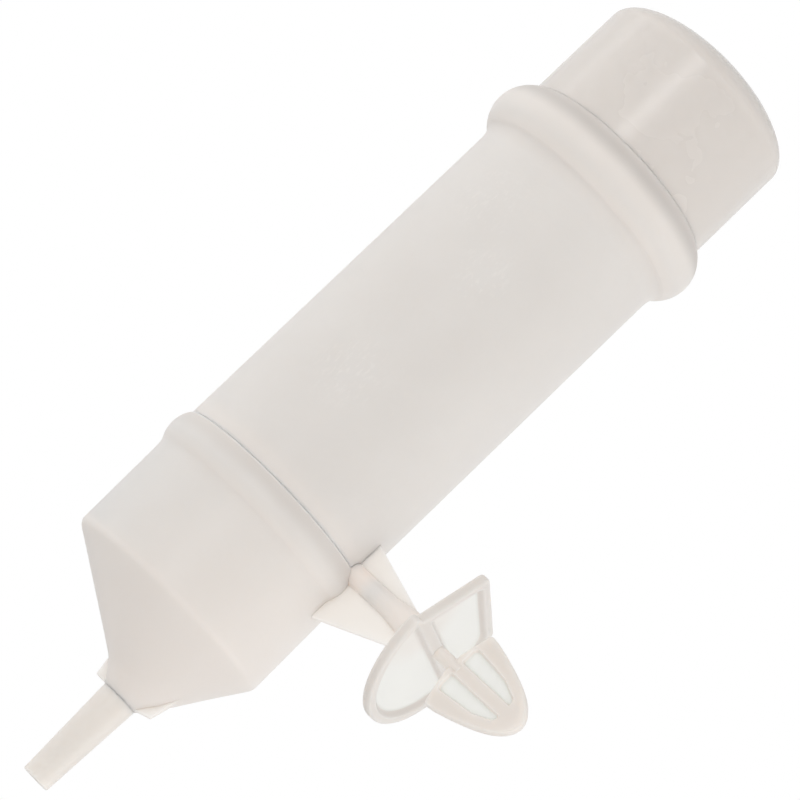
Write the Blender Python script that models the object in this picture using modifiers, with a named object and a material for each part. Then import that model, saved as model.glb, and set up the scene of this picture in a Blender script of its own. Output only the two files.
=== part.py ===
"""Hand-filled cage drinking fount, metres, +Z up the tube.

The origin is on the arm line, at the flat front rim of the cage hook's flange, so +X
points into the cage and the body of the fount stands behind it at X = -ARM_REACH.
"""

from math import cos, pi, radians, sin, sqrt

import bmesh
import bpy

MM = 0.001
GAP = 0.3  # clearance between pieces that touch, mm

# overall sizes, mm
BODY_R = 30.0  # barrel outside radius
BODY_LEN = 114.4  # base lip to the middle of the mouth bead
ARM_REACH = 61.4  # tube axis to the flange's front rim
WALL = 1.2

# push fits, each stepping in from the one below
SPIGOT_R = BODY_R - 1.1  # barrel's stepped-in lower end
SPIGOT_LEN = 26.0
SOCKET_R = SPIGOT_R + GAP
COLLAR_R = SOCKET_R + 1.3
CAP_R = BODY_R - 0.4

# heights
SHOULDER_Z = 0.6  # the barrel stands on the base's lip here
MOUTH_Z = SHOULDER_Z + BODY_LEN
MOUTH_HALF = 8.0
MOUTH_RISE = 4.8
MOUTH_ROOM = BODY_R + 2.7  # channel for the cap's ring, inside the bead

# cap
CAP_SHOULDER_Z = MOUTH_Z + 37.3
DOME_H = 10.5

# funnel base
RING_Z = -5.0  # middle of the small bead at the socket's mouth
RING_HALF = 5.2
RING_RISE = 1.6
RING_ROOM = 1.6  # channel depth behind the small bead
COLLAR_LEN = 33.0
CONE_DROP = 19.6
CONE_END_R = 9.4
CONE_TOP_Z = RING_Z - COLLAR_LEN
CONE_END_Z = CONE_TOP_Z - CONE_DROP
THROAT_Z = CONE_END_Z - 5.3
THROAT_R = 5.4
OUTLET_SHIFT = 10.3  # outlet axis, from the tube axis toward the cage

# outlet tube
OUTLET_LEN = 28.9
OUTLET_ROOT_R = THROAT_R - 0.25
OUTLET_TIP_R = 4.1
OUTLET_TIP_Z = THROAT_Z - OUTLET_LEN
OUTLET_BORE_R = 2.7
OUTLET_PLUG_R = 3.9

# arm
STEM_R = 3.05
HUB_R = 3.9
SPINDLE_R = 1.25
RIB_T = 1.3

# cage hook
FLANGE_R = 23.2
FLANGE_T = 2.9
FLANGE_FLAT = FLANGE_R - 4.9  # the two flats that make the thumb corner
THUMB_ANGLE = 63.0  # above the horizontal, on the -Y side
THUMB_SPREAD = 37.0  # each flat's normal, either side of the corner
HEAD_START = 5.0
HEAD_SHOULDER = 7.2
HEAD_TIP = 29.4
HEAD_HALF = 12.0
HEAD_T = 3.2
SPINE_T = 3.3  # rib across the flange and along the head

ROUND = 72


def reset():
    for obj in list(bpy.data.objects):
        bpy.data.objects.remove(obj, do_unlink=True)


def collection(name):
    made = bpy.data.collections.new(name)
    bpy.context.scene.collection.children.link(made)
    return made


reset()
FOUNT = collection("cage_drinking_fount")
CUTTERS = collection("cutters")
CUTTERS.hide_render = True


def material(name, colour, rough):
    made = bpy.data.materials.new(name)
    made.use_nodes = True
    shader = made.node_tree.nodes["Principled BSDF"]
    shader.inputs["Base Color"].default_value = (*colour, 1.0)
    shader.inputs["Roughness"].default_value = rough
    return made


def place(name, mesh, home, at=(0.0, 0.0, 0.0)):
    obj = bpy.data.objects.new(name, mesh)
    obj.location = [c * MM for c in at]
    home.objects.link(obj)
    if home is CUTTERS:
        obj.hide_render = True
        obj.display_type = "WIRE"
    return obj


def finish_mesh(bm, name):
    bmesh.ops.recalc_face_normals(bm, faces=bm.faces)
    mesh = bpy.data.meshes.new(name)
    bm.to_mesh(mesh)
    bm.free()
    return mesh


def revolved(name, profile, home, at, closed=True, segments=ROUND):
    """A profile of (radius, height) in mm, swept about the piece's own Z axis."""
    bm = bmesh.new()
    verts = [bm.verts.new((r * MM, 0.0, z * MM)) for r, z in profile]
    pairs = list(zip(verts, verts[1:]))
    if closed:
        pairs.append((verts[-1], verts[0]))
    for a, b in pairs:
        bm.edges.new((a, b))
    mesh = bpy.data.meshes.new(name)
    bm.to_mesh(mesh)
    bm.free()
    obj = place(name, mesh, home, at)
    sweep = obj.modifiers.new("sweep", "SCREW")
    sweep.steps = sweep.render_steps = segments
    sweep.use_merge_vertices = True
    sweep.merge_threshold = 0.00001
    sweep.use_normal_calculate = False
    sweep.use_smooth_shade = True
    return obj


def lofted(name, rings, home, at):
    """A solid skinned over horizontal circles whose centres may shift: (shift, radius, z)."""
    bm = bmesh.new()
    loops = []
    for shift, radius, z in rings:
        loops.append([
            bm.verts.new((
                (shift + radius * cos(2 * pi * i / ROUND)) * MM,
                radius * sin(2 * pi * i / ROUND) * MM,
                z * MM,
            ))
            for i in range(ROUND)
        ])
    for low, high in zip(loops, loops[1:]):
        for i in range(ROUND):
            j = (i + 1) % ROUND
            bm.faces.new((low[i], low[j], high[j], high[i]))
    bm.faces.new(loops[0])
    bm.faces.new(loops[-1])
    return place(name, finish_mesh(bm, name), home, at)


def plate(name, outline, thickness, home, at, along="Y"):
    """A flat plate: the outline is (x, z) for along Y, or (y, z) for along X from x=0 back."""
    bm = bmesh.new()
    sides = []
    offsets = (-thickness / 2, thickness / 2) if along == "Y" else (-thickness, 0.0)
    for shift in offsets:
        if along == "Y":
            sides.append([bm.verts.new((a * MM, shift * MM, b * MM)) for a, b in outline])
        else:
            sides.append([bm.verts.new((shift * MM, a * MM, b * MM)) for a, b in outline])
    count = len(outline)
    bm.faces.new(sides[0])
    bm.faces.new(sides[1])
    for i in range(count):
        j = (i + 1) % count
        bm.faces.new((sides[0][i], sides[0][j], sides[1][j], sides[1][i]))
    return place(name, finish_mesh(bm, name), home, at)


def rod(name, stations, home, at, segments=32):
    """A round bar along X through stations of (x, radius)."""
    bm = bmesh.new()
    loops = [
        [
            bm.verts.new((x * MM, r * cos(2 * pi * i / segments) * MM, r * sin(2 * pi * i / segments) * MM))
            for i in range(segments)
        ]
        for x, r in stations
    ]
    for near, far in zip(loops, loops[1:]):
        for i in range(segments):
            j = (i + 1) % segments
            bm.faces.new((near[i], near[j], far[j], far[i]))
    bm.faces.new(loops[0])
    bm.faces.new(loops[-1])
    return place(name, finish_mesh(bm, name), home, at)


def combine(obj, other, operation):
    mod = obj.modifiers.new(other.name, "BOOLEAN")
    mod.operation = operation
    mod.object = other
    mod.solver = "EXACT"


def shade(obj, mat):
    obj.data.materials.append(mat)
    for face in obj.data.polygons:
        face.use_smooth = True


def arc(radius, centre_z, half, rise, steps, start=1.0, end=-1.0):
    """Points down a bead: a circular arc standing rise above radius, from start to end of half."""
    first, last = start * half, end * half
    sweep = (half ** 2 + rise ** 2) / (2 * rise)
    points = []
    for i in range(steps + 1):
        dz = first + (last - first) * (1 - cos(pi * i / steps)) / 2
        points.append((radius + rise - sweep + sqrt(sweep ** 2 - dz ** 2), centre_z + dz))
    return points


TUBE = (-ARM_REACH, 0.0, 0.0)
natural = material("natural_plastic", (0.80, 0.77, 0.74), 0.55)
natural_gloss = material("natural_plastic_gloss", (0.80, 0.77, 0.74), 0.25)
natural_base = material("natural_plastic_base", (0.81, 0.78, 0.75), 0.5)
natural_tube = material("natural_plastic_tube", (0.82, 0.79, 0.76), 0.4)
natural_hook = material("natural_plastic_hook", (0.84, 0.81, 0.78), 0.4)
rubber_cap = material("soft_ring_cap", (0.62, 0.60, 0.57), 0.8)
rubber_base = material("soft_ring_base", (0.60, 0.58, 0.55), 0.8)

# funnel base ---------------------------------------------------------------------------
lip_z = SHOULDER_Z - GAP
outer = [(0.0, r, z) for r, z in arc(COLLAR_R - 0.1, RING_Z, RING_HALF, RING_RISE, 10)]
outer += [(0.0, COLLAR_R, RING_Z - RING_HALF - 1.0)]
outer += [(0.0, COLLAR_R, CONE_TOP_Z + 1.2), (0.05, COLLAR_R - 0.15, CONE_TOP_Z + 0.3)]
for share in (0.03, 1.0):
    outer.append((
        OUTLET_SHIFT * share,
        COLLAR_R - 0.15 + (CONE_END_R - COLLAR_R + 0.15) * share,
        CONE_TOP_Z + (CONE_END_Z - CONE_TOP_Z) * share,
    ))
outer.append((OUTLET_SHIFT, THROAT_R, THROAT_Z))
funnel = lofted("funnel_base", outer, FOUNT, TUBE)

seat_z = CONE_END_Z + 2.2
cavity = [
    (0.0, SOCKET_R, lip_z + 2.0),
    (0.0, SOCKET_R, RING_Z + 1.9),
    (0.0, SOCKET_R + RING_ROOM, RING_Z + 1.6),
    (0.0, SOCKET_R + RING_ROOM, RING_Z - 1.6),
    (0.0, SOCKET_R, RING_Z - 1.9),
    (0.0, SOCKET_R, CONE_TOP_Z + 0.9),
    (OUTLET_SHIFT, CONE_END_R - 1.6, seat_z),
    (OUTLET_SHIFT, OUTLET_BORE_R, seat_z - 1.2),
    (OUTLET_SHIFT, OUTLET_BORE_R, seat_z - 2.4),
]
socket_r = OUTLET_PLUG_R + GAP
well = lofted("base_cavity", cavity, CUTTERS, TUBE)
tube_socket = revolved(
    "tube_socket",
    [(0.0, seat_z - 1.9), (socket_r, seat_z - 1.9), (socket_r, THROAT_Z - 3.0), (0.0, THROAT_Z - 3.0)],
    CUTTERS, (-ARM_REACH + OUTLET_SHIFT, 0.0, 0.0), closed=False, segments=48,
)

# the arm: a round stem ending in a hub, with thin ribs over and under it
stem_root = BODY_R + 0.4
stem_end = ARM_REACH - FLANGE_T - GAP
arm_pieces = [
    rod(
        "arm_stem",
        [(stem_root - 0.1, STEM_R), (stem_end - 15.0, STEM_R), (stem_end - 9.0, HUB_R), (stem_end, HUB_R)],
        CUTTERS, TUBE,
    ),
    plate(
        "arm_rib_upper",
        [(stem_root, -1.0), (stem_end - 3.0, -1.0), (stem_end - 3.0, 2.2), (stem_root, 9.8)],
        RIB_T, CUTTERS, TUBE,
    ),
    plate(
        "arm_rib_lower",
        [(SOCKET_R + 0.5, -15.8), (SOCKET_R + 0.5, -1.4), (stem_end - 0.8, -0.4), (stem_end - 0.8, -4.9)],
        RIB_T + 0.1, CUTTERS, TUBE,
    ),
    plate(
        "outlet_fins",
        [
            (0.3, CONE_END_Z - 0.3), (1.2, THROAT_Z + 0.3), (OUTLET_SHIFT - 5.0, THROAT_Z + 0.2),
            (OUTLET_SHIFT + 5.0, THROAT_Z + 0.2), (OUTLET_SHIFT + 9.9, THROAT_Z + 1.6),
            (OUTLET_SHIFT + 12.4, CONE_END_Z + 5.8), (OUTLET_SHIFT, CONE_END_Z + 4.0),
        ],
        RIB_T, CUTTERS, TUBE,
    ),
]
for piece in arm_pieces:
    combine(funnel, piece, "UNION")
combine(funnel, well, "DIFFERENCE")
combine(funnel, tube_socket, "DIFFERENCE")
bore_r, room_r = SPINDLE_R + GAP, SPINDLE_R + 0.8
bore = rod(
    "spindle_bore",
    [(stem_end - 21.5, room_r), (stem_end - 18.0, room_r), (stem_end - 17.5, bore_r), (stem_end + 2.0, bore_r)],
    CUTTERS, TUBE,
)
combine(funnel, bore, "DIFFERENCE")
shade(funnel, natural_base)

# barrel ---------------------------------------------------------------------------------
step_z = SHOULDER_Z
end_z = SHOULDER_Z - SPIGOT_LEN
mouth_in = CAP_R + GAP
bead = arc(BODY_R - 0.3, MOUTH_Z, MOUTH_HALF, MOUTH_RISE, 14, 1.0, -0.97)
channel_top = [(mouth_in, MOUTH_Z + 4.2), (MOUTH_ROOM, MOUTH_Z + 3.5)]
channel_low = [(MOUTH_ROOM, MOUTH_Z - 3.5), (mouth_in, MOUTH_Z - 4.2)]
seat = MOUTH_Z - 6.9
barrel_profile = (
    [(mouth_in, MOUTH_Z + MOUTH_HALF - 0.2)]
    + [(max(r, mouth_in + 0.25), z) for r, z in bead]
    + [
        (BODY_R, MOUTH_Z - MOUTH_HALF - 1.5), (BODY_R, step_z + 0.4), (BODY_R - 0.3, step_z),
        (SPIGOT_R, step_z), (SPIGOT_R, end_z + 1.5), (SPIGOT_R - 0.5, end_z),
        (SPIGOT_R - WALL, end_z), (SPIGOT_R - WALL, step_z + 1.6), (BODY_R - WALL, step_z + 4.6),
        (BODY_R - WALL, seat), (mouth_in, seat),
    ]
    + channel_low[::-1] + channel_top[::-1]
)
barrel = revolved("barrel", barrel_profile, FOUNT, TUBE)
shade(barrel, natural)

# cap --------------------------------------------------------------------------------------
cap_low = seat + GAP
dome = [
    (CAP_R * cos(pi / 2 * i / 14), CAP_SHOULDER_Z + DOME_H * sin(pi / 2 * i / 14)) for i in range(15)
]
dome[-1] = (0.0, CAP_SHOULDER_Z + DOME_H)
inside = [
    ((CAP_R - WALL) * cos(pi / 2 * i / 12), CAP_SHOULDER_Z + (DOME_H - WALL) * sin(pi / 2 * i / 12))
    for i in range(13)
]
inside[-1] = (0.0, CAP_SHOULDER_Z + DOME_H - WALL)
cap = revolved(
    "top_cap",
    dome[::-1] + [(CAP_R, cap_low + 0.8), (CAP_R - 0.4, cap_low), (CAP_R - WALL, cap_low)] + inside,
    FOUNT, TUBE, closed=False,
)
shade(cap, natural_gloss)

# sealing rings --------------------------------------------------------------------------
def ring(name, middle_r, middle_z, half_w, half_h, mat, steps=16):
    profile = [
        (middle_r + half_w * cos(2 * pi * i / steps), middle_z - half_h * sin(2 * pi * i / steps))
        for i in range(steps)
    ]
    made = revolved(name, profile, FOUNT, TUBE)
    shade(made, mat)
    return made


ring("cap_seal_ring", (mouth_in + MOUTH_ROOM) / 2, MOUTH_Z, 1.3, 2.9, rubber_cap)
ring("base_seal_ring", SOCKET_R + 0.65, RING_Z, 0.65, 0.95, rubber_base)

# outlet tube ----------------------------------------------------------------------------
tube_top = seat_z - 1.9 - GAP
tube_step = THROAT_Z - GAP
outlet = revolved(
    "outlet_tube",
    [
        (OUTLET_BORE_R, tube_top), (OUTLET_PLUG_R - 0.3, tube_top), (OUTLET_PLUG_R, tube_top - 0.5),
        (OUTLET_PLUG_R, tube_step), (OUTLET_ROOT_R - 0.15, tube_step), (OUTLET_ROOT_R, tube_step - 0.3),
        (OUTLET_TIP_R, OUTLET_TIP_Z), (OUTLET_BORE_R - 0.1, OUTLET_TIP_Z),
    ],
    FOUNT, (-ARM_REACH + OUTLET_SHIFT, 0.0, 0.0), segments=64,
)
shade(outlet, natural_tube)

# cage hook ------------------------------------------------------------------------------
def flange_outline(radius, flat, steps=72):
    """A disc with two flats that meet in a corner at THUMB_ANGLE; returns (y, z)."""
    points = []
    corner = flat / cos(radians(THUMB_SPREAD))
    for i in range(steps):
        a = 2 * pi * i / steps
        reach = radius
        for side in (-THUMB_SPREAD, THUMB_SPREAD):
            lean = cos(a - radians(THUMB_ANGLE + side))
            if lean > 0.2:
                reach = min(reach, flat / lean)
        if abs(a - radians(THUMB_ANGLE)) < radians(12.0):
            reach = min([corner] + [flat / cos(a - radians(THUMB_ANGLE + s)) for s in (-THUMB_SPREAD, THUMB_SPREAD)])
        points.append((-reach * cos(a), reach * sin(a)))
    return points


hook = plate("cage_hook", flange_outline(FLANGE_R, FLANGE_FLAT), FLANGE_T, FOUNT, (0.0, 0.0, 0.0), "X")
def dish_outline(upper):
    """One half of the flange's shallow dish, above or below the rib that crosses it."""
    edge = SPINE_T / 2
    inside = flange_outline(FLANGE_R - 2.4, FLANGE_FLAT - 2.4)
    keep = [(y, z) for y, z in inside if (z > edge if upper else z < -edge)]
    level = edge if upper else -edge
    return [(keep[0][0], level)] + keep + [(keep[-1][0], level)]


for upper in (True, False):
    half_dish = plate(f"flange_dish_{int(upper)}", dish_outline(upper), 2.9, CUTTERS, (1.2, 0.0, 0.0), "X")
    combine(hook, half_dish, "DIFFERENCE")


def head_outline():
    """The arrow head seen from the side: square shoulders, edges closing to a round tip; (x, z)."""
    side = []
    steps = 14
    for i in range(steps + 1):
        share = i / steps
        x = HEAD_SHOULDER + (HEAD_TIP - HEAD_SHOULDER) * sin(pi / 2 * share)
        t = (x - HEAD_SHOULDER) / (HEAD_TIP - HEAD_SHOULDER)
        half = HEAD_HALF * (1 - 0.56 * t ** 1.25) * sqrt(max(0.0, 1 - t ** 7))
        side.append((x, half))
    side[-1] = (HEAD_TIP, 0.0)
    upper = [(HEAD_START, 0.0), (HEAD_START, 3.0)] + side
    lower = [(x, -z) for x, z in reversed(side[:-1])] + [(HEAD_START, -3.0)]
    return upper + lower


hook_pieces = [
    plate("hook_head", head_outline(), HEAD_T, CUTTERS, (0.0, 0.0, 0.0)),
    rod(
        "hook_spindle",
        [
            (-FLANGE_T - 20.3, SPINDLE_R - 0.3), (-FLANGE_T - 18.7, SPINDLE_R + 0.35),
            (-FLANGE_T - 18.4, SPINDLE_R), (-FLANGE_T + 0.5, SPINDLE_R), (-FLANGE_T + 0.5, 1.9),
            (HEAD_START + 2.5, 1.9),
        ],
        CUTTERS, (0.0, 0.0, 0.0),
    ),
]
for piece in hook_pieces:
    combine(hook, piece, "UNION")
for side in (-1, 1):
    for face in (-1, 1):
        groove = plate(
            f"head_groove_{side}_{face}",
            [(6.6, side * SPINE_T / 2), (6.6, side * 5.6), (18.5, side * 4.9), (22.3, side * 3.2), (22.3, side * SPINE_T / 2)],
            1.2, CUTTERS, (0.0, face * 1.6, 0.0),
        )
        combine(hook, groove, "DIFFERENCE")
shade(hook, natural_hook)
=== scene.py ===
"""Cage drinking fount: the looks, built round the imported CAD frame. Metres, +Z up the tube."""

from math import cos, pi, radians, sin, sqrt, tan

import bmesh
import bpy
from mathutils import Matrix, Vector


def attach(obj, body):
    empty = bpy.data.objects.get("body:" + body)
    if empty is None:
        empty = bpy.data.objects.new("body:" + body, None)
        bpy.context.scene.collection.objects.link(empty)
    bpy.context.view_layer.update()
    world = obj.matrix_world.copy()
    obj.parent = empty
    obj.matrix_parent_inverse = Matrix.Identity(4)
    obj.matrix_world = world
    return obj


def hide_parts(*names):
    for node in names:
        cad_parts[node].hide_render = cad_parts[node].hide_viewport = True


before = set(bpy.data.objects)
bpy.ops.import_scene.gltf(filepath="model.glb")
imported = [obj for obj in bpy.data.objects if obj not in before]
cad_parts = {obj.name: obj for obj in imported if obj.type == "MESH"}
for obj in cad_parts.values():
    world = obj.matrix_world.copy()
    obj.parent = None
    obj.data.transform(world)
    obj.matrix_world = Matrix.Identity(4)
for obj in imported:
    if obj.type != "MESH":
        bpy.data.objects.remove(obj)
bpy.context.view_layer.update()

MM = 0.001
# lengths below are in mm, in the frame's axes
AXIS_X = -61.4  # tube axis
SHIFT = 10.3  # outlet axis from the tube axis, on the arm's side
OUTLET_X = AXIS_X + SHIFT
BARREL_R, BORE_R = 30.0, 28.8
SPIGOT_R, SPIGOT_BORE_R, SPIGOT_END = 28.9, 27.7, -25.4
RING_Z = -5.0  # the collar's small bead and the ring in it
ROUND = 224  # points round the large turned parts
scene = bpy.context.scene


# ---------------------------------------------------------------------------- geometry helpers
def link(name, bm, angle=38.0):
    bmesh.ops.recalc_face_normals(bm, faces=bm.faces)
    mesh = bpy.data.meshes.new(name)
    bm.to_mesh(mesh)
    bm.free()
    obj = bpy.data.objects.new(name, mesh)
    scene.collection.objects.link(obj)
    smooth(obj, angle)
    return obj


def smooth(obj, angle=38.0):
    obj.data.polygons.foreach_set("use_smooth", [True] * len(obj.data.polygons))
    obj.data.set_sharp_from_angle(angle=radians(angle))


def rounded(points, closed=True, steps=5):
    """A polyline of (a, b) or (a, b, fillet radius) with its corners rounded."""
    out = []
    n = len(points)
    for i, p in enumerate(points):
        fillet = p[2] if len(p) > 2 else 0.0
        here = Vector(p[:2])
        if fillet <= 0 or (not closed and i in (0, n - 1)):
            out.append((here.x, here.y))
            continue
        before, after = Vector(points[i - 1][:2]), Vector(points[(i + 1) % n][:2])
        a, b = before - here, after - here
        la, lb = a.length, b.length
        a.normalize()
        b.normalize()
        turn = a.angle(b)
        reach = min(fillet / tan(turn / 2), la * 0.48, lb * 0.48) if turn < pi - 1e-3 else 0.0
        if reach <= 1e-6:
            out.append((here.x, here.y))
            continue
        p0, p2 = here + a * reach, here + b * reach
        for k in range(steps + 1):
            t = k / steps
            q = p0 * (1 - t) ** 2 + here * 2 * t * (1 - t) + p2 * t * t
            out.append((q.x, q.y))
    return out


def ring_of(bm, centre_x, r, z, segments):
    """Vertices round a horizontal circle."""
    turns = [2 * pi * i / segments for i in range(segments)]
    return [bm.verts.new(((centre_x + r * cos(a)) * MM, r * sin(a) * MM, z * MM)) for a in turns]


def bridge(bm, loops):
    """Quads between each loop of vertices and the next, and a face on both ends."""
    for a, b in zip(loops, loops[1:]):
        for i in range(len(a)):
            j = (i + 1) % len(a)
            bm.faces.new((a[i], a[j], b[j], b[i]))
    bm.faces.new(loops[0])
    bm.faces.new(loops[-1])


def lathe(name, profile, at_x=AXIS_X, closed=True, segments=ROUND, angle=38.0):
    """Sweeps (radius, z) about a vertical axis at at_x."""
    bm = bmesh.new()
    rings = []
    for r, z in profile:
        if r < 1e-6:
            rings.append([bm.verts.new((at_x * MM, 0, z * MM))])
        else:
            rings.append(ring_of(bm, at_x, r, z, segments))
    pairs = list(zip(rings, rings[1:])) + ([(rings[-1], rings[0])] if closed else [])
    for a, b in pairs:
        for i in range(segments):
            j = (i + 1) % segments
            if len(a) == 1 and len(b) == 1:
                continue
            if len(a) == 1:
                bm.faces.new((a[0], b[i], b[j]))
            elif len(b) == 1:
                bm.faces.new((a[i], a[j], b[0]))
            else:
                bm.faces.new((a[i], a[j], b[j], b[i]))
    return link(name, bm, angle)


def loft(name, rings, at_x=AXIS_X, segments=ROUND):
    """A solid through horizontal circles of (shift, radius, z), capped at both ends."""
    bm = bmesh.new()
    bridge(bm, [ring_of(bm, at_x + s, r, z, segments) for s, r, z in rings])
    return link(name, bm)


def slab(name, outline, low, high, along="Y", at=(0.0, 0.0, 0.0), bevel=0.0, segments=3):
    """A bevelled plate between low and high along one axis; outline is (x, z) for Y and (y, z) for X."""
    bm = bmesh.new()
    sides = []
    for level in (low, high):
        if along == "Y":
            co = [(a, level, b) for a, b in outline]
        else:
            co = [(level, a, b) for a, b in outline]
        sides.append([bm.verts.new(tuple((c + o) * MM for c, o in zip(p, at))) for p in co])
    count = len(outline)
    caps = [bm.faces.new(sides[0]), bm.faces.new(sides[1])]
    for i in range(count):
        j = (i + 1) % count
        bm.faces.new((sides[0][i], sides[0][j], sides[1][j], sides[1][i]))
    bmesh.ops.recalc_face_normals(bm, faces=bm.faces)
    if bevel > 0:
        edges = {e for f in caps for e in f.edges}
        bmesh.ops.bevel(
            bm, geom=list(edges), offset=bevel * MM, segments=segments, profile=0.5,
            affect="EDGES", clamp_overlap=True,
        )
    return link(name, bm)


def bar(name, stations, at=(0.0, 0.0, 0.0), segments=72):
    """A round bar along X through stations of (x, radius)."""
    bm = bmesh.new()
    loops = [
        [
            bm.verts.new((
                (x + at[0]) * MM,
                (r * cos(2 * pi * (i + 0.5) / segments) + at[1]) * MM,
                (r * sin(2 * pi * (i + 0.5) / segments) + at[2]) * MM,
            ))
            for i in range(segments)
        ]
        for x, r in stations
    ]
    bridge(bm, loops)
    return link(name, bm)


def carve(obj, steps, angle=38.0):
    """Applies (operation, other object) booleans in order, welds the seams and removes the others."""
    for i, (operation, other) in enumerate(steps):
        mod = obj.modifiers.new(f"step{i}", "BOOLEAN")
        mod.operation = operation
        mod.object = other
        mod.solver = "EXACT"
    bpy.context.view_layer.update()
    made = bpy.data.meshes.new_from_object(obj.evaluated_get(bpy.context.evaluated_depsgraph_get()))
    bm = bmesh.new()
    bm.from_mesh(made)
    bmesh.ops.remove_doubles(bm, verts=bm.verts, dist=0.002 * MM)
    bm.to_mesh(made)
    bm.free()
    obj.modifiers.clear()
    obj.data = made
    for _, other in steps:
        bpy.data.objects.remove(other, do_unlink=True)
    smooth(obj, angle)
    return obj


def half_round(base, centre, half, rise, start=1.0, end=-1.0, steps=28):
    """Points down a bead: a circular arc standing rise above base."""
    sweep = (half ** 2 + rise ** 2) / (2 * rise)
    points = []
    for i in range(steps + 1):
        dz = half * (start + (end - start) * (1 - cos(pi * i / steps)) / 2)
        points.append((base + rise - sweep + sqrt(sweep ** 2 - dz ** 2), centre + dz))
    return points


def eased(before, corner, after, steps=10):
    """A wide soft bend from one point to another round a corner."""
    before, corner, after = Vector(before), Vector(corner), Vector(after)
    out = []
    for k in range(1, steps + 1):
        t = k / steps
        q = before * (1 - t) ** 2 + corner * 2 * t * (1 - t) + after * t * t
        out.append((q.x, q.y))
    return out


def resample(points, count):
    """The closed outline as count points, evenly spaced from its first one."""
    loop = [Vector(p) for p in points] + [Vector(points[0])]
    lengths = [(b - a).length for a, b in zip(loop, loop[1:])]
    total, out, i, gone = sum(lengths), [], 0, 0.0
    for k in range(count):
        want = total * k / count
        while gone + lengths[i] < want:
            gone += lengths[i]
            i += 1
        q = loop[i].lerp(loop[i + 1], (want - gone) / max(1e-9, lengths[i]))
        out.append((q.x, q.y))
    return out


def stack(name, rings, along="Y", at=(0.0, 0.0, 0.0)):
    """A solid skinned over (level, outline) along one axis; the outlines match point for point."""
    bm = bmesh.new()
    loops = []
    for level, ring in rings:
        co = [(a, level, b) for a, b in ring] if along == "Y" else [(level, a, b) for a, b in ring]
        loops.append([bm.verts.new(tuple((c + o) * MM for c, o in zip(p, at))) for p in co])
    bridge(bm, loops)
    return link(name, bm)


# ---------------------------------------------------------------------------- materials
def make(tree, kind, inputs, **settings):
    """A shader node with its settings, and its inputs given a value or another node's output."""
    node = tree.nodes.new("ShaderNode" + kind)
    for key, value in settings.items():
        setattr(node, key, value)
    feed(tree, node, inputs)
    return node


def feed(tree, node, inputs):
    for key, value in inputs.items():
        if isinstance(value, bpy.types.NodeSocket):
            tree.links.new(value, node.inputs[key])
        else:
            node.inputs[key].default_value = value


def distance(tree, where, centre):
    return make(tree, "VectorMath", {0: where, 1: centre}, operation="DISTANCE").outputs["Value"]


def scuffed(tree, where, colour, colour_out, height, centre, size):
    """Pale short strokes within size of centre, in both colour and height."""
    near = make(
        tree, "MapRange",
        {"Value": distance(tree, where, centre), "From Min": size, "From Max": size * 0.3},
    )
    stretched = make(
        tree, "Mapping", {"Vector": where, "Scale": (1300, 1300, 520), "Rotation": (0.5, 0.4, 0.2)}
    )
    streak = make(tree, "TexNoise", {"Vector": stretched.outputs["Vector"], "Scale": 1.0, "Detail": 3.0})
    kept = make(tree, "MapRange", {"Value": streak.outputs["Fac"], "From Min": 0.52, "From Max": 0.72})
    amount = make(
        tree, "Math", {0: near.outputs["Result"], 1: kept.outputs["Result"]}, operation="MULTIPLY"
    ).outputs["Value"]
    paler = (*tuple(min(1.0, c * 1.06) for c in colour), 1)
    mix = make(tree, "Mix", {"Factor": amount, "A": colour_out, "B": paler}, data_type="RGBA")
    raised = make(tree, "Math", {0: height, 1: amount}, operation="ADD")
    return mix.outputs["Result"], raised.outputs["Value"]


def paint_light_band(tree, where, colour_out, level, half, tint):
    """Multiplies the colour by tint at a level, fading out half above and below it: a band of painted shade
    where tint is below 1, of painted light where it is above 1.
    """
    split = make(tree, "SeparateXYZ", {"Vector": where})
    off = make(tree, "Math", {0: split.outputs["Z"], 1: level * MM}, operation="SUBTRACT")
    size = make(tree, "Math", {0: off.outputs["Value"]}, operation="ABSOLUTE")
    band = make(
        tree, "MapRange",
        {
            "Value": size.outputs["Value"], "From Min": 0.0, "From Max": half * MM,
            "To Min": tint, "To Max": 1.0,
        },
        interpolation_type="SMOOTHSTEP",
    )
    painted_band_tint = make(
        tree, "Mix", {"Factor": 1.0, "A": colour_out, "B": band.outputs["Result"]},
        data_type="RGBA", blend_type="MULTIPLY",
    )
    return painted_band_tint.outputs["Result"]


def paint_shade_patch(tree, where, colour_out, centre, near_r, far_r, tone):
    """Passes from tone near centre to the plain colour far from it: a patch of painted shade."""
    far = make(
        tree, "MapRange", {"Value": distance(tree, where, centre), "From Min": near_r, "From Max": far_r},
        interpolation_type="SMOOTHSTEP",
    )
    blend = make(
        tree, "Mix", {"Factor": far.outputs["Result"], "A": (*tone, 1), "B": colour_out}, data_type="RGBA"
    )
    return blend.outputs["Result"]


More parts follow.
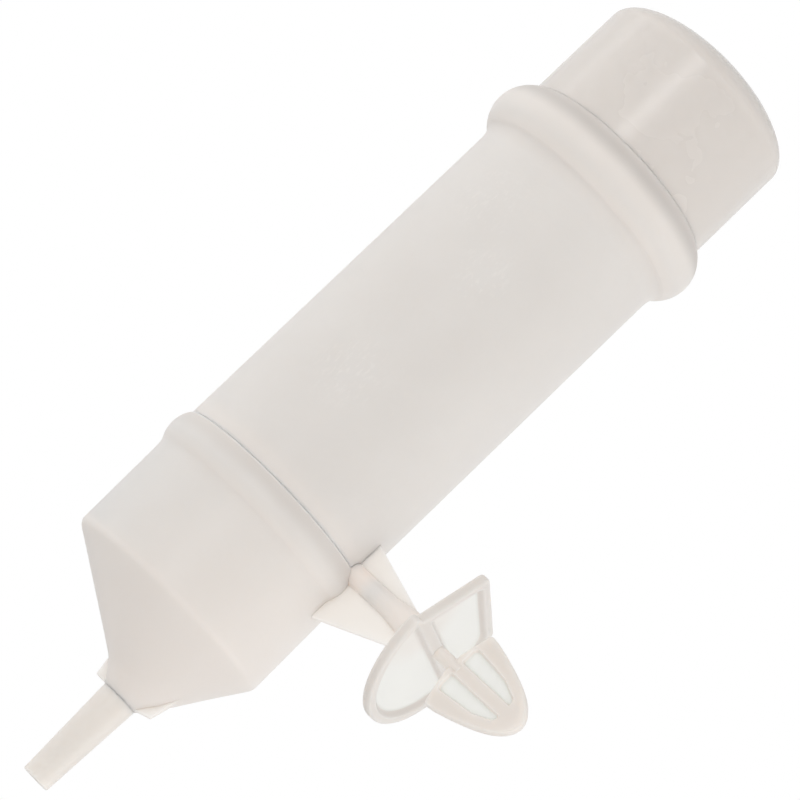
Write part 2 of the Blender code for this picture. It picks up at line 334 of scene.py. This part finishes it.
def plastic(
    name, colour, rough, radius, orange=0.0, scale=400.0, mottled=0.02, scatter=1.0,
    scuffs=(), painted_light_bands=(), thick=None,
):
    """Milky plastic: radius is how far light travels in it, mm; orange and scale are its fine grain."""
    mat = bpy.data.materials.new(name)
    mat.use_nodes = True
    tree = mat.node_tree
    shader = tree.nodes["Principled BSDF"]
    where = make(tree, "TexCoord", {}).outputs["Object"]
    cloud = make(tree, "TexNoise", {"Vector": where, "Scale": 28.0, "Detail": 4.0, "Roughness": 0.55})
    ramp = make(tree, "ValToRGB", {"Fac": cloud.outputs["Fac"]})
    low, high = ramp.color_ramp.elements
    low.position, high.position = 0.3, 0.7
    low.color = (*tuple(c * (1 - mottled) for c in colour), 1)
    high.color = (*tuple(min(1.0, c * (1 + mottled)) for c in colour), 1)
    colour_out = ramp.outputs["Color"]
    grain = make(tree, "TexNoise", {"Vector": where, "Scale": scale, "Detail": 5.0})
    rough_map = make(
        tree, "MapRange",
        {"Value": cloud.outputs["Fac"], "To Min": max(0.05, rough - 0.06), "To Max": rough + 0.06},
    )
    height = grain.outputs["Fac"]
    for centre, size in scuffs:
        colour_out, height = scuffed(tree, where, colour, colour_out, height, centre, size)
    for level, half, tint in painted_light_bands:
        colour_out = paint_light_band(tree, where, colour_out, level, half, tint)
    if thick:
        colour_out = paint_shade_patch(tree, where, colour_out, *thick)
    bump = make(tree, "Bump", {"Strength": orange, "Distance": 0.0002, "Height": height})
    feed(tree, shader, {
        "IOR": 1.5, "Subsurface Weight": scatter, "Subsurface Radius": radius, "Subsurface Scale": 0.001,
        "Roughness": rough_map.outputs["Result"], "Base Color": colour_out, "Normal": bump.outputs["Normal"],
    })
    return mat


def wear(obj, mat, body, node):
    """Gives a piece its material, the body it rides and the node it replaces."""
    obj.data.materials.clear()
    obj.data.materials.append(mat)
    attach(obj, body)
    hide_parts(node)


MILK = (0.80, 0.745, 0.70)
SCUFFS = (  # (centre, size) in metres
    ((-0.0659, -0.0297, 0.0887), 0.012),
    ((-0.0523, -0.0286, 0.0736), 0.010),
    ((-0.0587, -0.0299, 0.0325), 0.012),
)
# painted shade darkens the plastic along each bead's shoulder and painted light lightens it in the joint line
# above the base
barrel_mat = plastic(
    "milky_barrel", MILK, 0.5, (2.6, 2.5, 2.4), 0.12, 900.0, 0.022,
    scuffs=SCUFFS, painted_light_bands=((119.8, 4.4, 0.80), (0.2, 0.9, 1.18)),
)
cap_mat = plastic("milky_cap", (0.74, 0.685, 0.64), 0.26, (2.2, 2.1, 2.0), 0.05, 260.0, 0.01)
# painted shade along the collar bead's shoulder and painted light in the joint line at its top
base_mat = plastic(
    "milky_base", MILK, 0.42, (2.6, 2.5, 2.4), 0.10, 700.0, 0.014,
    painted_light_bands=((-2.0, 3.8, 0.90), (0.2, 0.8, 1.22)),
)
tube_mat = plastic("milky_outlet", (0.79, 0.74, 0.69), 0.38, (2.6, 2.5, 2.4), 0.08, 700.0, 0.01)
hook_mat = plastic("milky_hook", (0.76, 0.715, 0.67), 0.35, (2.8, 2.7, 2.6), 0.08, 600.0, 0.012)
# painted light: a lighter copy of the hook's plastic for its thin web and the head's hollows; its thick entry
# adds a patch of painted shade on one side of the web
painted_light_web_mat = plastic(
    "milky_hook_painted_light", (0.745, 0.742, 0.71), 0.4, (3.6, 3.6, 3.4), 0.06, 600.0, 0.008,
    thick=((-0.0017, -0.017, 0.001), 0.008, 0.017, (0.725, 0.695, 0.66)),
)
# painted shade: a darker copy of the hook's plastic for the rest of the flange
painted_shade_rim_mat = plastic("milky_flange_painted_shade", (0.70, 0.665, 0.63), 0.36, (2.8, 2.7, 2.6), 0.08, 600.0, 0.012)
# painted light: a lighter copy of the base's plastic for the stem, against the shade of the ribs beside it
painted_light_stem_mat = plastic("milky_stem_painted_light", (0.85, 0.785, 0.735), 0.42, (2.6, 2.5, 2.4), 0.08, 600.0, 0.01)
# painted light: a lighter copy of the base's plastic for the thin ribs and fins
painted_light_rib_mat = plastic("milky_rib_painted_light", (0.83, 0.785, 0.74), 0.42, (3.2, 3.1, 3.0), 0.08, 600.0, 0.01)
ring_mat = plastic("soft_seal", (0.62, 0.60, 0.57), 0.7, (0.6, 0.6, 0.6), 0.1, 1500.0, 0.03, 0.3)

# ---------------------------------------------------------------------------- barrel
MOUTH_Z, MOUTH_HALF = 115.0, 8.0
bead = [(29.58, MOUTH_Z + MOUTH_HALF)] + half_round(29.7, MOUTH_Z, MOUTH_HALF, 4.8, 0.985, -0.80)
root = eased(bead[-1], (BARREL_R, bead[-1][1] - 1.2), (BARREL_R, bead[-1][1] - 5.0))
barrel_profile = rounded(
    bead
    + root
    + [(BARREL_R, 0.2), (SPIGOT_R, 0.2, 0.2), (SPIGOT_R, SPIGOT_END + 1.4, 0.5)]
    + [(SPIGOT_R - 0.5, SPIGOT_END, 0.3), (SPIGOT_BORE_R, SPIGOT_END, 0.2), (SPIGOT_BORE_R, 2.2, 1.5)]
    + [(BORE_R, 5.2, 2.0), (BORE_R, 108.1, 0.2), (29.9, 108.1, 0.2), (29.9, 110.8, 0.2)]
    + [(32.7, 111.5, 0.8), (32.7, 118.5, 0.8)]  # the ring's room inside the bead
    + [(29.9, 119.2, 0.2), (29.58, 122.6)]
)
barrel = lathe("fount_barrel", barrel_profile)
wear(barrel, barrel_mat, "reservoir", "barrel")

# ---------------------------------------------------------------------------- cap
CAP_R, CAP_WALL, CAP_FOOT = 29.6, 1.2, 108.4
CAP_Z, DOME = 152.3, 10.5  # the shoulder's height and the dome's above it
CAP_TOP = CAP_Z + DOME


def quarter(r, rise, steps=30):
    """The dome's outline from its shoulder to near its middle."""
    turns = [pi / 2 * i / steps for i in range(steps)]
    return [(r * cos(a), CAP_Z + rise * sin(a)) for a in turns]


gate = [(0.0, CAP_TOP - 0.35), (0.9, CAP_TOP - 0.35), (1.3, CAP_TOP - 0.02)]
foot = [(CAP_R, 112.0), (CAP_R, CAP_FOOT, 0.5), (CAP_R - CAP_WALL, CAP_FOOT, 0.4), (CAP_R - CAP_WALL, 112.0)]
cap_profile = (
    gate
    + quarter(CAP_R, DOME)[::-1]
    + rounded(foot, False)
    + quarter(CAP_R - CAP_WALL, DOME - CAP_WALL)
    + [(0.0, CAP_TOP - CAP_WALL)]
)
cap = lathe("fount_cap", cap_profile, closed=False)
wear(cap, cap_mat, "cap", "top_cap")


# ---------------------------------------------------------------------------- sealing rings
def o_ring(name, r, z, half_w, half_h, node, body):
    steps = 24
    turns = [2 * pi * i / steps for i in range(steps)]
    profile = [(r + half_w * cos(a), z - half_h * sin(a)) for a in turns]
    wear(lathe(name, profile, angle=180.0), ring_mat, body, node)


o_ring("cap_ring", 31.3, MOUTH_Z, 1.3, 2.9, "cap_seal_ring", "reservoir")
o_ring("base_ring", 29.85, RING_Z, 0.65, 0.95, "base_seal_ring", "base")

# ---------------------------------------------------------------------------- funnel base
CONE_TOP, CONE_END, THROAT = -38.0, -57.6, -62.9
COLLAR_R = 30.45
band = half_round(30.35, RING_Z, 5.1, 1.6, 0.97, -0.78, 20)
shell = [(0.0, 29.7, 0.28), (0.0, 30.05, 0.26)]
shell += [(0.0, r, z) for r, z in band]
foot_z = band[-1][1]
shell += [(0.0, r, z) for r, z in eased(band[-1], (COLLAR_R, foot_z - 0.9), (COLLAR_R, foot_z - 4.0))]
shell += [(0.0, COLLAR_R, -20.0), (0.0, COLLAR_R, -30.0), (0.0, COLLAR_R, CONE_TOP + 1.5)]
cone_from, cone_to = Vector((0.0, COLLAR_R, CONE_TOP)), Vector((SHIFT, 9.3, CONE_END))
corner_in, corner_out = Vector((0.0, COLLAR_R, CONE_TOP + 1.4)), cone_from.lerp(cone_to, 0.05)
for k in range(1, 7):
    t = k / 7
    q = corner_in * (1 - t) ** 2 + cone_from * 2 * t * (1 - t) + corner_out * t * t
    shell.append(tuple(q))
for k in range(0, 9):
    shell.append(tuple(cone_from.lerp(cone_to, 0.05 + (0.955 - 0.05) * k / 8)))
throat_to = Vector((SHIFT, 5.4, THROAT))
knee_in, knee_out = cone_from.lerp(cone_to, 0.955), cone_to.lerp(throat_to, 0.2)
for k in range(1, 6):
    t = k / 6
    shell.append(tuple(knee_in * (1 - t) ** 2 + cone_to * 2 * t * (1 - t) + knee_out * t * t))
shell += [tuple(knee_out), (SHIFT, 5.45, THROAT + 0.35), (SHIFT, 5.22, THROAT)]
base = loft("fount_base", shell)
# the base stands slightly cocked: most at the end of the collar, nothing at its mouth and throat
COCKED_SIDE, COCKED_TOP, COCKED_SLOPE = 0.5, 0.36, 0.025
for vert in base.data.vertices:
    x, z = vert.co.x / MM - AXIS_X, vert.co.z / MM
    if THROAT + 2 < z < -1:
        down, aside = max(0.0, min(1.0, (-10 - z) / 26.0)), min(1.0, (-1 - z) / 9.0)
        if z < CONE_TOP:
            down = max(0.0, 1 - (CONE_TOP - z) / 22.0)
            aside = max(0.0, 1 - (CONE_TOP - z) / 9.0)
        vert.co.x += (COCKED_SIDE * down + COCKED_TOP * aside) * MM
        vert.co.z += COCKED_SLOPE * x * down * MM
base.data.update()

seat = CONE_END + 2.2
cavity = loft(
    "cavity",
    [(0.0, 29.2, 2.3), (0.0, 29.2, -3.1), (0.0, 30.8, -3.4), (0.0, 30.8, -6.6), (0.0, 29.2, -6.9)]
    + [(0.0, 29.0, CONE_TOP + 1.6), (SHIFT, 7.5, seat), (SHIFT, 2.7, seat - 1.2), (SHIFT, 2.7, seat - 2.4)],
)
socket = lathe(
    "socket", [(0, seat - 1.9), (4.2, seat - 1.9), (4.2, THROAT - 3), (0, THROAT - 3)], OUTLET_X, False, 96
)
stem_root, stem_end = 29.96, 58.2
tube_at = (AXIS_X, 0.0, 0.0)
stem = bar(
    "stem",
    [(stem_root, 3.05), (stem_end - 15.2, 3.05), (stem_end - 14.4, 3.1), (stem_end - 9.4, 3.84)]
    + [(stem_end - 8.6, 3.9), (stem_end - 0.4, 3.9), (stem_end, 3.55)],
    tube_at,
)
rib_up = slab(
    "rib_up",
    rounded([(29.6, -0.7), (stem_end - 3.0, -0.7), (stem_end - 3.0, 2.2), (29.6, 9.95, 0.1)]),
    -0.65, 0.65, "Y", tube_at, 0.28,
)
rib_low = slab(
    "rib_low",
    [(29.7, -15.8), (29.7, -1.4), (stem_end - 0.8, -0.4), (stem_end - 0.8, -4.9)],
    -0.7, 0.7, "Y", tube_at, 0.28,
)
fins = slab(
    "fins",
    rounded([
        (0.3, CONE_END - 0.3), (1.2, THROAT + 0.3, 0.3), (SHIFT - 5.0, THROAT + 0.22),
        (SHIFT + 5.0, THROAT + 0.22), (SHIFT + 9.9, THROAT + 1.6, 0.4), (SHIFT + 12.4, CONE_END + 5.8),
        (SHIFT, CONE_END + 4.0),
    ]),
    -0.65, 0.65, "Y", tube_at, 0.25,
)
bore = bar("bore", [(36.7, 2.05), (40.2, 2.05), (40.7, 1.55), (61.0, 1.55)], tube_at)
carve(base, [("UNION", stem), ("UNION", rib_up), ("UNION", rib_low), ("UNION", fins)]
      + [("DIFFERENCE", cavity), ("DIFFERENCE", socket), ("DIFFERENCE", bore)])
wear(base, base_mat, "base", "funnel_base")
base.data.materials.append(painted_light_rib_mat)
base.data.materials.append(painted_light_stem_mat)
# faces get the painted-light copies: ribs and fins (1), the stem (2)
for face in base.data.polygons:
    x, y, z = (c / MM for c in face.center)
    if abs(face.normal.y) > 0.7 and 0.6 < abs(y) < 0.72 and (x > AXIS_X + 30.9 or z < CONE_END + 6):
        face.material_index = 1
    elif x > AXIS_X + 33.0 and abs(z) < 4.0:
        face.material_index = 2

# ---------------------------------------------------------------------------- outlet tube
tube = lathe(
    "fount_outlet",
    rounded([
        (2.7, seat - 2.2, 0.1), (3.6, seat - 2.2, 0.1), (3.9, seat - 2.7, 0.2), (3.9, -62.75), (5.19, -62.75),
        (5.15, -63.8), (4.05, -91.8, 0.5), (2.6, -91.8, 0.2),
    ]),
    OUTLET_X, True, 128,
)
wear(tube, tube_mat, "base", "outlet_tube")


# ---------------------------------------------------------------------------- cage hook
THUMB, FLAT_TURN = 63.0, 37.0  # where the thumb corner points, and each flat from it, degrees
FLANGE_R, FLANGE_FLAT, FLANGE_BACK = 23.2, 18.3, -2.9
HEAD_BACK, HEAD_TIP, HEAD_HALF, HEAD_THICK = 5.0, 29.3, 12.0, 1.6


def flange(radius, flat, soften, steps=288):
    """A disc with two flats meeting in a thumb corner, its corners eased; (y, z)."""
    raw = []
    for i in range(steps):
        a = 2 * pi * i / steps
        reach = radius
        for side in (-FLAT_TURN, FLAT_TURN):
            lean = cos(a - radians(THUMB + side))
            if lean > 0.2 and (abs(a - radians(THUMB + side)) < radians(40)):
                reach = min(reach, flat / lean)
        if abs(a - radians(THUMB)) < radians(12.0):
            reach = min(flat / cos(a - radians(THUMB + s)) for s in (-FLAT_TURN, FLAT_TURN))
        raw.append(reach)
    soft = raw
    for _ in range(soften):
        soft = [(soft[i - 1] + 2 * soft[i] + soft[(i + 1) % steps]) / 4 for i in range(steps)]
    return [
        (-min(e, r) * cos(2 * pi * i / steps), min(e, r) * sin(2 * pi * i / steps))
        for i, (e, r) in enumerate(zip(soft, raw))
    ]


def half_dish(upper, amount):
    """The flange's shallow dish above or below the rib that crosses it, moved in by amount."""
    ring = flange(20.6 - amount, 15.7 - amount, 10)
    level = 1.9 + amount
    keep = [(y, z) for y, z in ring if (z > level if upper else z < -level)]
    if not upper:
        level = -level
    ends = (keep[0][0], level, 1.6), (keep[-1][0], level, 1.6)
    return resample(rounded([ends[0]] + keep[2:-2] + [ends[1]], steps=8), 240)


# edge roundings as (depth, how far the outline is moved in)
EDGE = ((0.0, 0.7), (0.1, 0.36), (0.32, 0.12), (0.7, 0.0))
plate = [(FLANGE_BACK + d, flange(FLANGE_R - i, FLANGE_FLAT - i, 3)) for d, i in EDGE]
plate += [(-d, flange(FLANGE_R - i, FLANGE_FLAT - i, 3)) for d, i in EDGE[::-1]]
hook = stack("fount_hook", plate, "X")
DISH = (
    (-1.70, 1.5), (-1.66, 1.15), (-1.5, 0.75), (-1.2, 0.38),
    (-0.8, 0.1), (-0.35, -0.12), (-0.1, -0.35), (0.15, -0.8),
)
dishes = [stack(f"dish{up}", [(x, half_dish(up, i)) for x, i in DISH], "X") for up in (True, False)]


def head(amount=0.0):
    """The arrow head seen from the side, moved in by amount; (x, z)."""
    side = []
    steps = 40
    tip = HEAD_TIP - amount
    for i in range(steps + 1):
        x = 7.2 + (tip - 7.2) * sin(pi / 2 * i / steps)
        t = (x - 7.2) / (tip - 7.2)
        side.append((x, (HEAD_HALF - amount) * (1 - 0.56 * t ** 1.25) * sqrt(max(0.0, 1 - t ** 7))))
    side[-1] = (tip, 0.0)
    back = HEAD_BACK + amount
    barb = (7.15 + amount * 0.7, 11.9 - amount, 1.0)
    upper = rounded([(back, 0.0), (back, 3.0 - amount / 2, 0.6), barb, side[3]], False, 8) + side[4:]
    return resample(upper + [(x, -z) for x, z in reversed(upper[1:-1])], 260)


thick = [(-HEAD_THICK + d, head(i)) for d, i in EDGE]
thick += [(HEAD_THICK - d, head(i)) for d, i in EDGE[::-1]]
head_slab = stack("head", thick, "Y")
GROOVE = ((1.0, 0.6), (0.96, 0.4), (0.8, 0.2), (0.5, 0.05), (0.15, -0.1), (-0.1, -0.35))


def groove(side, amount):
    """One of the head's long hollows, beside its spine; (x, z)."""
    return resample(rounded([
        (6.9 + amount, side * (1.85 + amount), 0.8), (6.9 + amount, side * (7.0 - amount), 1.5),
        (18.0, side * (5.8 - amount), 3.0), (23.0 - amount, side * (3.7 - amount * 0.6), 1.0),
        (23.5 - amount, side * (1.85 + amount), 0.5),
    ], steps=7), 120)


hollows = [
    stack(f"groove{side}{face}", [(face * (HEAD_THICK - d), groove(side, i)) for d, i in GROOVE])
    for side in (-1, 1) for face in (-1, 1)
]
carve(head_slab, [("DIFFERENCE", hollow) for hollow in hollows], 30.0)
spindle = bar(
    "spindle",
    [(-23.2, 0.95), (-21.6, 1.6), (-21.3, 1.25), (-2.4, 1.25), (-2.4, 1.9), (7.6, 1.9)],
)
carve(hook, [("DIFFERENCE", d) for d in dishes] + [("UNION", head_slab), ("UNION", spindle)], 30.0)
wear(hook, hook_mat, "hook", "cage_hook")
hook.data.materials.append(painted_light_web_mat)
hook.data.materials.append(painted_shade_rim_mat)
# faces get the painted-light copy (web and hollows) or the painted-shade copy (the rest of the flange)
for face in hook.data.polygons:
    x, y, z = (c / MM for c in face.center)
    web = abs(face.normal.x) > 0.5 and abs(x + 1.62) < 0.16 and max(abs(y), abs(z)) < 22
    hollow = abs(face.normal.y) > 0.5 and abs(abs(y) - 0.66) < 0.12 and 6.0 < x < 24.0 and abs(z) > 1.4
    if web or hollow:
        face.material_index = 1
    elif x < 0.3:
        face.material_index = 2
# thin milky plastic hardly shades what stands behind it
hook.visible_diffuse = False
hook.visible_shadow = False

# ---------------------------------------------------------------------------- floor, light, camera
bm = bmesh.new()
bmesh.ops.create_circle(bm, cap_ends=True, radius=9.0, segments=96)
floor = link("studio_floor", bm)
floor.location = (0, 0, -0.42)
floor_mat = bpy.data.materials.new("floor_pale")
floor_mat.use_nodes = True
paint = floor_mat.node_tree.nodes["Principled BSDF"]
paint.inputs["Base Color"].default_value = (0.9, 0.9, 0.9, 1)
paint.inputs["Roughness"].default_value = 0.9
floor.data.materials.append(floor_mat)

turn, tilt, roll = radians(25.0), radians(10.0), radians(46.162)
right = Vector((cos(turn), sin(turn), 0))
away = Vector((-sin(turn), cos(turn), 0))
up = Vector((0, 0, 1))
look = away * cos(tilt) + up * sin(tilt)
tube_up = up * cos(tilt) - away * sin(tilt)
cam_x = tube_up * sin(roll) + right * cos(roll)
cam_y = tube_up * cos(roll) - right * sin(roll)
cam_z = -look
aim = Vector((AXIS_X * MM, 0, 0.0413)) + right * 0.00418
data = bpy.data.cameras.new("camera")
data.sensor_width = 36.0
data.lens = 171.0
camera = bpy.data.objects.new("camera", data)
scene.collection.objects.link(camera)
camera.matrix_world = Matrix((
    (cam_x.x, cam_y.x, cam_z.x, 0), (cam_x.y, cam_y.y, cam_z.y, 0),
    (cam_x.z, cam_y.z, cam_z.z, 0), (0, 0, 0, 1),
))
CAMERA_AWAY = 0.969
camera.location = aim - look * CAMERA_AWAY
scene.camera = camera

world = bpy.data.worlds.new("studio")
scene.world = world
world.use_nodes = True
tree = world.node_tree
sky = tree.nodes["Background"]
sky.inputs["Color"].default_value = (1.0, 1.0, 1.0, 1)
SKY_LEVEL, SKY_SIDES, SKY_TOP = 0.885, 0.30, 0.42
direction = make(tree, "TexCoord", {}).outputs["Generated"]


def share(axis):
    """How far a direction lies along an axis, squared."""
    dot = make(tree, "VectorMath", {0: direction, 1: axis}, operation="DOT_PRODUCT").outputs["Value"]
    return make(tree, "Math", {0: dot, 1: dot}, operation="MULTIPLY").outputs["Value"]


def plus(value, by, add_to):
    return make(tree, "Math", {0: value, 1: by, 2: add_to}, operation="MULTIPLY_ADD").outputs["Value"]


level = plus(share((cos(turn), sin(turn), 0.0)), SKY_SIDES, SKY_LEVEL)
level = plus(share((0.0, 0.0, 1.0)), -SKY_TOP, level)
tree.links.new(level, sky.inputs["Strength"])
seen = make(tree, "Background", {"Color": (1.0, 1.0, 1.0, 1), "Strength": 1.0})
path = make(tree, "LightPath", {})
mix = make(tree, "MixShader", {
    "Fac": path.outputs["Is Camera Ray"], 1: sky.outputs["Background"], 2: seen.outputs["Background"],
})
tree.links.new(mix.outputs["Shader"], tree.nodes["World Output"].inputs["Surface"])


def softbox(name, where, target, size, power):
    light = bpy.data.lights.new(name, "AREA")
    light.shape = "RECTANGLE"
    light.size, light.size_y = size
    light.energy = power
    obj = bpy.data.objects.new(name, light)
    scene.collection.objects.link(obj)
    obj.location = where
    obj.rotation_euler = (Vector(target) - Vector(where)).to_track_quat("-Z", "Y").to_euler()
    return obj


target = Vector((AXIS_X * MM, 0, 0.04))


def round_about(degrees, distance, height):
    """A point round the tube, that many degrees to the camera's left."""
    a = radians(degrees)
    return target + (-away * cos(a) - right * sin(a)) * distance + up * height


softbox("strip_front", round_about(22, 1.1, 0.28), target + up * 0.1, (0.20, 0.7), 2.1)
softbox("strip_side", round_about(104, 1.1, 0.28), target + up * 0.1, (0.18, 0.7), 0.45)
softbox("fill_low_right", round_about(-78, 0.62, -0.26), target - up * 0.08, (0.5, 0.35), 0.75)

scene.view_settings.view_transform = "Standard"
